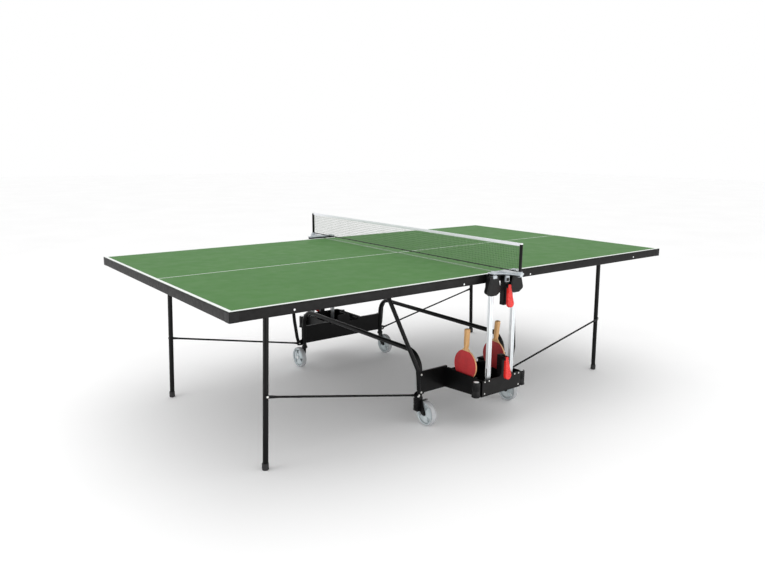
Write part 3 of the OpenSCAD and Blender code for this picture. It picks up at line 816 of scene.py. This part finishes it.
def net():
    """Knotted twine, woven into cells under a white folded tape, with a tie cord along its foot."""
    half = NET_HIGH.y
    rows = round((TAPE_LOW.z - NET_LOW.z) / NET_CELL)
    columns = round(2 * half / NET_CELL)
    twine = Piece()
    r = TWINE / 2
    square = [(-r, -r), (r, -r), (r, r), (-r, r)]
    heights = [NET_LOW.z + (TAPE_LOW.z + 2 - NET_LOW.z) * i / rows for i in range(rows + 1)]
    for i in range(columns + 1):
        y = -half + 2 * half * i / columns
        twine.sweep([(net_hang(y, z), y, z) for z in heights], square)
    for z in heights[:-1]:
        ys = [-half + 2 * half * i / columns for i in range(columns + 1)]
        twine.sweep([(net_hang(y, z) + 0.2, y, z) for y in ys], square)
    woven = twine.make("net_twine_mesh", "trolley", NET_TWINE, ["net_mesh"])
    tape = Piece()
    section = rounded([(-1.9, -7.5), (1.9, -7.5), (2.0, 3), (1.3, 7.4), (-1.3, 7.4), (-2.0, 3)], 1.4, 3)
    steps = 90
    middle = (TAPE_LOW.z + TAPE_HIGH.z) / 2
    path = [(0, -TAPE_HIGH.y + 2 * TAPE_HIGH.y * i / steps, middle) for i in range(steps + 1)]
    tape.sweep(path, [(u, v * 0.98) for u, v in section])
    band = tape.make("net_top_tape", "trolley", NET_TAPE, ["net_tape"])
    low, high = box_mm("net_cord")
    foot = Piece()
    z = (low.z + high.z) / 2
    path = [(0, low.y + 2 * high.y * i / 120, z) for i in range(121)]
    foot.tube(path, 5.0, sides=10)
    thick = 3.5
    for i in range(24):
        y = -half + 38 + i * (2 * half - 76) / 23
        knot = [(0, y - 13), (thick * 0.8, y - 9), (thick, y), (thick * 0.8, y + 9), (0, y + 13)]
        foot.lathe("y", (0, 0, z), knot, 12)
    foot.make("net_tie_cord", "trolley", NET_CORD, ["net_cord"])


def lock_housings():
    """Upper and lower release boxes between the posts, with ribs and the ears that hold the pull pins."""
    locks = Piece()
    for joint, low, high in (("far_upper_pull_hinge", 612, 756), ("far_lower_pull_hinge", 263.5, 367)):
        at = pivot_mm(joint)
        locks.block((-14, 786, low), (14, 811, high), 2)
        outline = rounded([(-10, low + 6), (10, low + 6), (12, high - 6), (-12, high - 6)], 3)
        locks.prism("y", [(z, x) for x, z in outline], 810, 814, 0.8)
        for rib in range(3):
            z = low + 12 + rib * (high - low - 24) / 2
            locks.block((-15.5, 790, z - 2), (15.5, 806, z + 2), 0.8)
        for cheek in (-1, 1):
            x = cheek * 12.5
            locks.block((x - 1.4, 811, at.z - 8), (x + 1.4, at.y + 6, at.z + 8), 1.2)
        locks.lathe("x", (0, at.y, at.z), [(0, -14), (2.95, -14), (2.95, 14), (0, 14)], 20)
    locks.block((-14, 786, 200), (14, 809.8, 264), 2)
    locks.copy_mirrored(y=True)
    locks.make("release_boxes", "trolley", BLACK_PLASTIC, ["lock_housings"])


def pull_handle(end, level, flip):
    """Bright teardrop pull with a rolled edge and a finger dish."""
    name = f"{end}_{level}_handle"
    at = pivot_mm(f"far_{level}_pull_hinge")
    low, high = box_mm(f"far_{level}_handle")
    radius = (high.x - low.x) / 2
    drop, neck = 80, 7.8
    tangent = math.degrees(math.asin((radius - neck) / drop))
    outline = arc((0, 0), neck, -tangent, 180 + tangent, 14)
    outline += arc((0, -drop), radius - 0.3, 180 + tangent, 360 - tangent, 24)
    turned = [(z, x) for x, z in outline]
    pull = Piece()
    pull.prism("y", turned, -5.9, 5.9, 3.4, 4)
    middle = -drop * 0.62
    pull.prism("y", [(middle + (z - middle) * 0.6, x * 0.56) for z, x in turned], 4.6, 6.3, 1.3, 3)
    pull.lathe("x", (0, 0, 0), [(3.05, -9.5), (6.6, -9.5), (6.6, 9.5), (3.05, 9.5)], 24)
    pull.shift(Matrix.Translation((0, at.y, at.z)) @ Matrix.Rotation(math.radians(8), 4, "X"))
    pull.make(f"{end}_{level}_red_pull", f"{end}_{level}_pull", RED_PLASTIC, [name], flip_y=not flip)


# ---------------------------------------------------------------- trolley (drawn at -X, far end)

TROLLEY_X = -290
TROLLEY_Y = 542
TROLLEY_TOP = 362


def trolley_frame(side, flip):
    """One bent tube for both trolley legs, with pivot brackets, pivot bolts and caster sockets."""
    tubes = Piece()
    tubes.tube([(TROLLEY_X, -TROLLEY_Y, 140.5), (TROLLEY_X, -TROLLEY_Y, TROLLEY_TOP),
                (TROLLEY_X, TROLLEY_Y, TROLLEY_TOP), (TROLLEY_X, TROLLEY_Y, 140.5)], 24, 88)
    pivot = pivot_mm("left_link_hinge")
    plate = rounded([(pivot.z - 13, pivot.x - 13), (pivot.z + 13, pivot.x - 13),
                     (pivot.z + 26, TROLLEY_X - 4), (pivot.z + 26, TROLLEY_X + 8),
                     (pivot.z - 14, TROLLEY_X + 8), (pivot.z - 14, TROLLEY_X - 4)], 6)
    for inner, outer in ((-554, -550.5), (553, 556.8)):
        tubes.prism("y", plate, inner, outer)
    tubes.paint(1)
    for way in (-1, 1):
        tubes.lathe("y", (pivot.x, 0, pivot.z), [(0, way * 551), (3.95, way * 551), (3.95, way * 569),
                                                  (0, way * 569)])
        tubes.dome("y", (pivot.x, way * 568.4, pivot.z), 8, way * 4.4)
    tubes.paint(2)
    for way in (-1, 1):
        tubes.lathe("z", (TROLLEY_X, way * TROLLEY_Y, 0), [(5.6, 140), (12.2, 140), (12.6, 141), (12.6, 149),
                                                            (12.2, 150), (5.6, 150)])
    tubes.make(f"{side}_trolley_tube", "trolley", [BLACK_STEEL, ZINC, BLACK_PLASTIC],
               [f"{side}_trolley_frame"], flip_x=flip)


TRAY_X = 131
PANEL_Y = 810
SHEET_T = 1.6


def back_plate(end, flip):
    """Pressed sheet between the trolley legs with a folded top lip and notches for the folded halves."""
    edge = -TROLLEY_X - 12.3
    top, tab, notch = 265, 45, 109
    plate = Piece()
    outline = [(155, -edge), (155, edge), (top, edge), (top, notch), (246, notch), (246, tab), (296, tab),
               (296, -tab), (246, -tab), (246, -notch), (top, -notch), (top, -edge)]
    y = TROLLEY_Y
    plate.prism("y", rounded(outline, 5), y - SHEET_T / 2, y + SHEET_T / 2, 0.4)
    for x0, x1 in ((-edge + 1, -notch - 1), (notch + 1, edge - 1)):
        plate.block((x0, y - 10, top - SHEET_T), (x1, y, top), 0.6)
        plate.block((x0, y - 10, top - 8), (x1, y - 8.6, top - 0.4), 0.5)
    for way in (-1, 1):
        plate.block((way * 272 - 0.8, y, 156), (way * 272 + 0.8, y + 14, 264), 0.5)
        ear = sorted([way * 272, way * 301])
        plate.block((ear[0], y + 12.6, 156), (ear[1], y + 14.1, 264), 0.5)
    plate.make(f"{end}_rear_sheet", "trolley", BLACK_STEEL, [f"{end}_back_plate"], flip_y=not flip)


def tray(end, flip):
    """Folded tray: floor with beads, two deep side plates with rolled top edges."""
    floor_z = 181
    y0, y1 = TROLLEY_Y + SHEET_T, PANEL_Y - 0.1
    pan = Piece()
    pan.block((-TRAY_X, y0, floor_z), (TRAY_X, y1, floor_z + SHEET_T), 0.4)
    for x in (-70, 0, 70):
        pan.block((x - 5, y0 + 30, floor_z + SHEET_T - 0.2), (x + 5, y1 - 60, floor_z + SHEET_T + 0.5), 0.35)
    side_outline = rounded([(y0, 160), (y1, 179), (y1, 263), (y0, 265)], 6)
    for way in (-1, 1):
        inner, outer = way * TRAY_X, way * (TRAY_X + SHEET_T)
        pan.prism("x", side_outline, min(inner, outer), max(inner, outer), 0.4)
        lip = sorted([way * (TRAY_X - 7), way * (TRAY_X + SHEET_T)])
        pan.sweep([((lip[0] + lip[1]) / 2, y0 + 6, 265), ((lip[0] + lip[1]) / 2, 552, 265)],
                  [(-4, -0.8), (4, -0.8), (4, 0.8), (-4, 0.8)])
    pan.make(f"{end}_tray_pan", "trolley", BLACK_STEEL, [f"{end}_tray"], flip_y=not flip)


def end_panel(end, flip):
    """Outer panel with folded top and bottom lips, and the blocks that hold the posts."""
    low, high = box_mm("far_end_panel")
    panel = Piece()
    outline = rounded([(185, low.x), (185, high.x), (263, high.x), (263, low.x)], 4)
    panel.prism("y", outline, high.y - SHEET_T, high.y, 0.5)
    panel.block((low.x + 3, high.y - 8, 185), (high.x - 3, high.y - 0.4, 186.6), 0.5)
    panel.block((low.x + 30, high.y - 3.4, 261.4), (high.x - 30, high.y - 0.4, 263), 0.5)
    panel.paint(1)
    for x in (-HEAD_X, HEAD_X):
        panel.block((x - 13, POST_Y + 8.1, 194), (x + 13, high.y - SHEET_T, 240), 1.5)
    panel.make(f"{end}_name_panel", "trolley", [BLACK_RAIL, BLACK_PLASTIC], [f"{end}_end_panel"],
               flip_y=not flip)


def corner_bumpers():
    """Moulded corner rollers with a grip ring and a pale domed plug."""
    low, high = box_mm("corner_bumpers")
    x = high.x - 21.5
    all_four = Piece()
    z0, z1 = low.z, high.z
    all_four.lathe("z", (x, 792, 0), [(0, z0), (19.5, z0), (21.4, z0 + 1.5), (21.4, z0 + 7), (20, z0 + 9),
                                         (20, z0 + 30), (19.4, z0 + 31), (19.4, z0 + 33), (20, z0 + 34),
                                         (20, z1 - 8), (18.8, z1 - 4), (16, z1 - 2.5), (0, z1 - 2.5)])
    all_four.paint(1)
    all_four.lathe("z", (x, 792, 0), [(0, z1 - 3), (13, z1 - 3), (12.5, z1 - 1.6), (9, z1 - 0.4), (0, z1)])
    all_four.copy_mirrored(x=True)
    all_four.copy_mirrored(y=True)
    all_four.make("bumper_rollers", "trolley", [BLACK_PLASTIC, WHITE_NYLON], ["corner_bumpers"])


def tray_bolts():
    heads = Piece()
    flange = TROLLEY_Y + 14.1
    for z in (165, 255):
        heads.dome("y", (TROLLEY_X, flange, z), 5.5, 3.0)
    for x, z in ((-89, 254), (-117, 254), (-117, 196)):
        heads.dome("y", (x, PANEL_Y + SHEET_T - 0.1, z), 3.6, 2.0)
    heads.copy_mirrored(x=True)
    heads.copy_mirrored(y=True)
    heads.make("tray_screw_heads", "trolley", ZINC, ["tray_bolts"])


def bat_holders(end, flip):
    """Moulded pockets with flared mouths beside the side plates."""
    holders = Piece()
    floor_z, bottom, top = 182.8, 231.4, 258
    x0, x1 = TRAY_X - 0.3, 106.1
    slot = (123.7, 111.3)
    y0, y1 = 550, 752
    holders.block((x1, y0, floor_z), (x0, y1, bottom), 1.2)
    holders.block((slot[0] + 0.1, y0, bottom - 2), (x0, y1, top), 1.6)
    for a, b in ((y0, 599), (681, y1)):
        holders.block((x1, a, bottom - 2), (slot[1] - 0.1, b, top), 1.6)
    holders.block((x1, 599, bottom - 2), (slot[1] - 0.1, 681, 239.5), 1.2)
    for a, b in ((y0, 552.8), (745.2, y1)):
        holders.block((x1 + 1, a, bottom - 2), (x0 - 1, b, top), 1.0)
    for y in (570, 600, 630, 660, 690, 720):
        holders.block((x1, y - 1.5, floor_z + 4), (x1 + 2, y + 1.5, bottom - 4), 0.6)
    holders.copy_mirrored(x=True)
    holders.make(f"{end}_bat_pockets", "trolley", BLACK_PLASTIC, [f"{end}_bat_holders"], flip_y=not flip)


# ---------------------------------------------------------------- casters

WHEEL_R = 62
TRAIL = 36
WHEEL_OFF = 15


def caster_fork(name, body, place, turn, brake):
    """Single-sided moulded fork: swivel collar, ribbed brake housing, mudguard and axle."""
    fork = Piece()
    axle = (0, -TRAIL, WHEEL_R)
    fork.lathe("z", (0, 0, 0), [(0, 126), (16, 126), (17, 128), (17, 136), (15.5, 139.4), (9, 139.4),
                                (5.45, 139.4), (5.45, 172), (4.5, 173.8), (0, 173.8)])
    arm = rounded([(-24, 134), (13, 134), (10, 96), (-20, 56), (-40, 50), (-49, 58), (-44, 74), (-32, 96)], 7)
    fork.prism("x", arm, -4, 1, 1.2)
    if brake:
        fork.prism("x", rounded([(-13, 70), (14, 70), (14, 135), (-13, 135)], 5), -21, -3, 2)
        for k in range(9):
            z = 70.5 + 7.4 * k
            rib = rounded([(-15.8, z), (17.8, z), (17.8, z + 3.6), (-15.8, z + 3.6)], 1.6)
            fork.prism("x", rib, -24.5, -4, 1.2)
        guard = arc(axle[1:], WHEEL_R + 7, 50, 86, 12) + arc(axle[1:], WHEEL_R + 4, 86, 50, 12)
        fork.prism("x", guard, -4, WHEEL_OFF + 13, 0.8)
    fork.lathe("x", axle, [(0, -7), (7.5, -7), (9, -5.5), (9, -3.9), (4.45, -3.9), (4.45, WHEEL_OFF + 14.4),
                           (0, WHEEL_OFF + 14.4)])
    fork.paint(1)
    fork.lathe("x", axle, [(0, WHEEL_OFF + 14.3), (9, WHEEL_OFF + 14.3), (8.6, WHEEL_OFF + 16),
                           (5, WHEEL_OFF + 17), (0, WHEEL_OFF + 17)])
    fork.shift(Matrix.Translation(place) @ Matrix.Rotation(math.radians(turn), 4, "Z"))
    fork.make(f"{name}_caster_body", body, [BLACK_PLASTIC, WHITE_NYLON], [f"{name}_fork"])


def caster_wheel(name, body, place, turn):
    """Light grey wheel: soft tread, moulded rim, three forked spokes with open triangles, hub with a cap."""
    wheel = Piece()
    half = 13
    r = WHEEL_R
    wheel.lathe("x", (0, 0, 0), [(r - 6, -half + 1), (r - 2.5, -half), (r - 0.6, -half + 3.5), (r, -half + 6),
                                 (r, half - 6), (r - 0.6, half - 3.5), (r - 2.5, half), (r - 6, half - 1)], 96)
    wheel.paint(1)
    wheel.lathe("x", (0, 0, 0), [(r - 11, -10), (r - 6.2, -half + 0.6), (r - 5.8, 0), (r - 6.2, half - 0.6),
                                 (r - 11, 10), (r - 12, 0)], 96)
    wheel.lathe("x", (0, 0, 0), [(4.6, -half + 1), (12, -half + 1), (14, -half + 3), (14, half - 3),
                                 (12, half - 1), (4.6, half - 1)], 48)
    wheel.lathe("x", (0, 0, 0), [(46.8, -8), (r - 11, -8), (r - 11, 8), (46.8, 8)], 96)
    apex, base, half_w = 17.5, 47, 17
    spread = math.degrees(math.atan(half_w / base))
    for k in range(3):
        first, last = 90 + 120 * k, 210 + 120 * k
        outline = arc((0, 0), 50, first + spread, last - spread, 10)
        outline += [(apex * math.cos(math.radians(last)), apex * math.sin(math.radians(last)))]
        outline += arc((0, 0), 12.5, last, first, 8)
        outline += [(apex * math.cos(math.radians(first)), apex * math.sin(math.radians(first)))]
        wheel.prism("x", outline, -8, 8, 0.5)
        rib = arc((0, 0), 44, first + 34, last - 34, 6) + arc((0, 0), 24, last - 42, first + 42, 4)
        wheel.prism("x", rounded(rib, 3), 7.6, 9.2, 0.6)
    wheel.shift(Matrix.Rotation(math.radians(14), 4, "X"))
    wheel.shift(Matrix.Translation(place) @ Matrix.Rotation(math.radians(turn), 4, "Z")
                @ Matrix.Translation((WHEEL_OFF, -TRAIL, WHEEL_R)))
    wheel.make(f"{name}_caster_wheel", body, [TYRE_GREY, WHEEL_GREY], [f"{name}_wheel"])


# ---------------------------------------------------------------- bats (drawn standing in the YZ plane)

BLADE_R = 75


def blade_outline(grow, neck):
    """Egg-shaped blade with a straight-sided neck: (y, z) round the blade's middle."""
    points = []
    for i in range(61):
        a = math.radians(-90 - 158 + 316 * i / 60)
        r = BLADE_R - 0.3 + grow
        wide = 1.0 - 0.035 * math.sin(a)
        points.append((r * wide * math.cos(a) * 0.985, r * math.sin(a)))
    if neck:
        points += [(13, 84), (12.5, 88), (-12.5, 88), (-13, 84)]
    return points


def bat(side, flip):
    body = f"{side}_bat"
    low, high = box_mm(f"{side}_bat_wood")
    x = (low.x + high.x) / 2
    lift = JOINT[f"{side}_bat_lift"]["axis"]
    lean = Matrix.Rotation(math.atan2(-lift[1], lift[2]), 4, "X")
    rubber_low, rubber_high = box_mm(f"{side}_bat_rubbers")
    middle = Vector((x, (rubber_low.y + rubber_high.y) / 2, 307))
    place = Matrix.Translation(middle) @ lean
    wood = Piece()
    wood.prism("x", blade_outline(0, True), -3, 3, 0.7)
    wood.paint(1)
    sections, path = [], []
    for i in range(15):
        t = i / 14
        z = 77 + 101.5 * t
        half_w = 12.2 + 1.6 * t ** 2 if i else 10.5
        half_t = (4.5 + 6.4 * min(1, t * 4)) if t < 0.25 else 10.9 + 0.5 * t
        if i == 14:
            half_w, half_t = half_w - 1.5, half_t - 1.5
        ring = []
        for k in range(28):
            a = 2 * math.pi * k / 28
            c, s = math.cos(a), math.sin(a)
            ring.append((half_w * math.copysign(abs(c) ** 0.62, c),
                         half_t * math.copysign(abs(s) ** 0.62, s)))
        sections.append(ring)
        path.append((0, 0, z))
    wood.sweep(path, sections)
    wood.paint(2)
    for face in (-1, 1):
        inner, outer = sorted((face * 10.0, face * 11.49))
        wood.block((inner, -3.2, 104), (outer, 3.2, 172), 0.4)
    wood.shift(place)
    wood.make(f"{side}_bat_blade", body, [PLYWOOD, HANDLE_PALE, HANDLE_DARK], [f"{side}_bat_wood"])
    sheets = Piece()
    cut = 72
    outline = [(u, v) for u, v in blade_outline(-0.8, False) if v < cut]
    for face in (-1, 1):
        sheets.prism("x", outline, min(face * 3.05, face * 5), max(face * 3.05, face * 5), 0.5)
    sheets.shift(place)
    sheets.make(f"{side}_bat_sheets", body, BAT_RUBBER, [f"{side}_bat_rubbers"])


# ---------------------------------------------------------------- build everything

on_sides(board)
on_sides(apron)
on_sides(corner_caps)
on_sides(hinge_pins)
on_sides(leg_frame)
on_sides(link_rods)
on_sides(strut_frame)
on_sides(hinge_heads)
on_sides(trolley_frame)
posts()
post_caps()
on_ends(net_bracket)
net_posts()
net()
lock_housings()
for level in ("upper", "lower"):
    on_ends(lambda end, flip: pull_handle(end, level, flip))
on_ends(back_plate)
on_ends(tray)
on_ends(end_panel)
corner_bumpers()
tray_bolts()
on_ends(bat_holders)
for end, way in ENDS.items():
    for side, sign in SIDES.items():
        corner = f"{end}_{side}"
        spot = Vector((-sign * TROLLEY_X, way * TROLLEY_Y, 0))
        turned = 180 if corner == "far_left" else 0
        caster_fork(corner, f"{corner}_caster", spot, turned, end == "near")
        caster_wheel(corner, f"{corner}_wheel", spot, turned)
on_sides(bat)
for side in SIDES:
    clamps = frame["nodes"][f"{side}_axle_clamps"]
    clamps.data.materials.clear()
    clamps.data.materials.append(BLACK_PLASTIC)


# ---------------------------------------------------------------- camera, light and floor

def camera():
    made = bpy.data.cameras.new("camera")
    made.lens = 31.98
    made.sensor_width = 36
    made.clip_end = 60
    holder = bpy.data.objects.new("camera", made)
    bpy.context.scene.collection.objects.link(holder)
    turn, drop, roll = math.radians(-37.48), math.radians(12.10), math.radians(0.41)
    forward = Vector((-math.sin(turn) * math.cos(drop), math.cos(turn) * math.cos(drop), -math.sin(drop)))
    holder.location = (-2.352, -2.929, 1.327)
    holder.rotation_mode = "QUATERNION"
    level = forward.to_track_quat("-Z", "Y")
    holder.rotation_quaternion = level @ Matrix.Rotation(roll, 3, "Z").to_quaternion()
    bpy.context.scene.camera = holder


def area_light(name, place, target, size, power, tall=None):
    """A round light, or an upright oblong one size wide and tall high."""
    light = bpy.data.lights.new(name, "AREA")
    light.shape = "RECTANGLE" if tall else "DISK"
    light.size = size
    if tall:
        light.size_y = tall
    light.energy = power
    holder = bpy.data.objects.new(name, light)
    holder.location = place
    holder.rotation_mode = "QUATERNION"
    holder.visible_camera = False
    holder.rotation_quaternion = (Vector(target) - Vector(place)).to_track_quat("-Z", "Y")
    bpy.context.scene.collection.objects.link(holder)


def studio():
    world = bpy.data.worlds.new("studio")
    world.use_nodes = True
    world.node_tree.nodes["Background"].inputs["Color"].default_value = srgb("ffffff")
    world.node_tree.nodes["Background"].inputs["Strength"].default_value = 1.0
    bpy.context.scene.world = world
    # Standard keeps the white ground white and the paint colours as given.
    bpy.context.scene.view_settings.view_transform = "Standard"
    area_light("key", (-4.5, 0.5, 2.2), (0, 0, 0.5), 2.0, 16)
    area_light("top", (0.5, 0.5, 5.0), (0, 0, 0.7), 4.0, 20)
    # Two fills below the height of the board lift the ground under it.
    area_light("near_fill", (0.4, -3.6, 0.38), (0, 0, 0.2), 4.5, 34, tall=0.6)
    area_light("left_fill", (-3.9, 0.3, 0.38), (0, 0, 0.2), 3.0, 22, tall=0.6)
    floor_mesh = bpy.data.meshes.new("floor")
    reach = 30
    floor_mesh.from_pydata([(-reach, -reach, 0), (reach, -reach, 0), (reach, reach, 0), (-reach, reach, 0)],
                           [], [(0, 1, 2, 3)])
    floor = bpy.data.objects.new("floor", floor_mesh)
    floor.location.z = -0.0005
    bpy.context.scene.collection.objects.link(floor)
    made, tree, shader, place = start("pale_floor", Roughness=0.85, Specular_IOR_Level=0.2)
    tint(tree, shader, noise(tree, place, 900, 2), 0.3, 0.7, ("fcfcfc", "ffffff"))
    floor_mesh.materials.append(made)


camera()
studio()
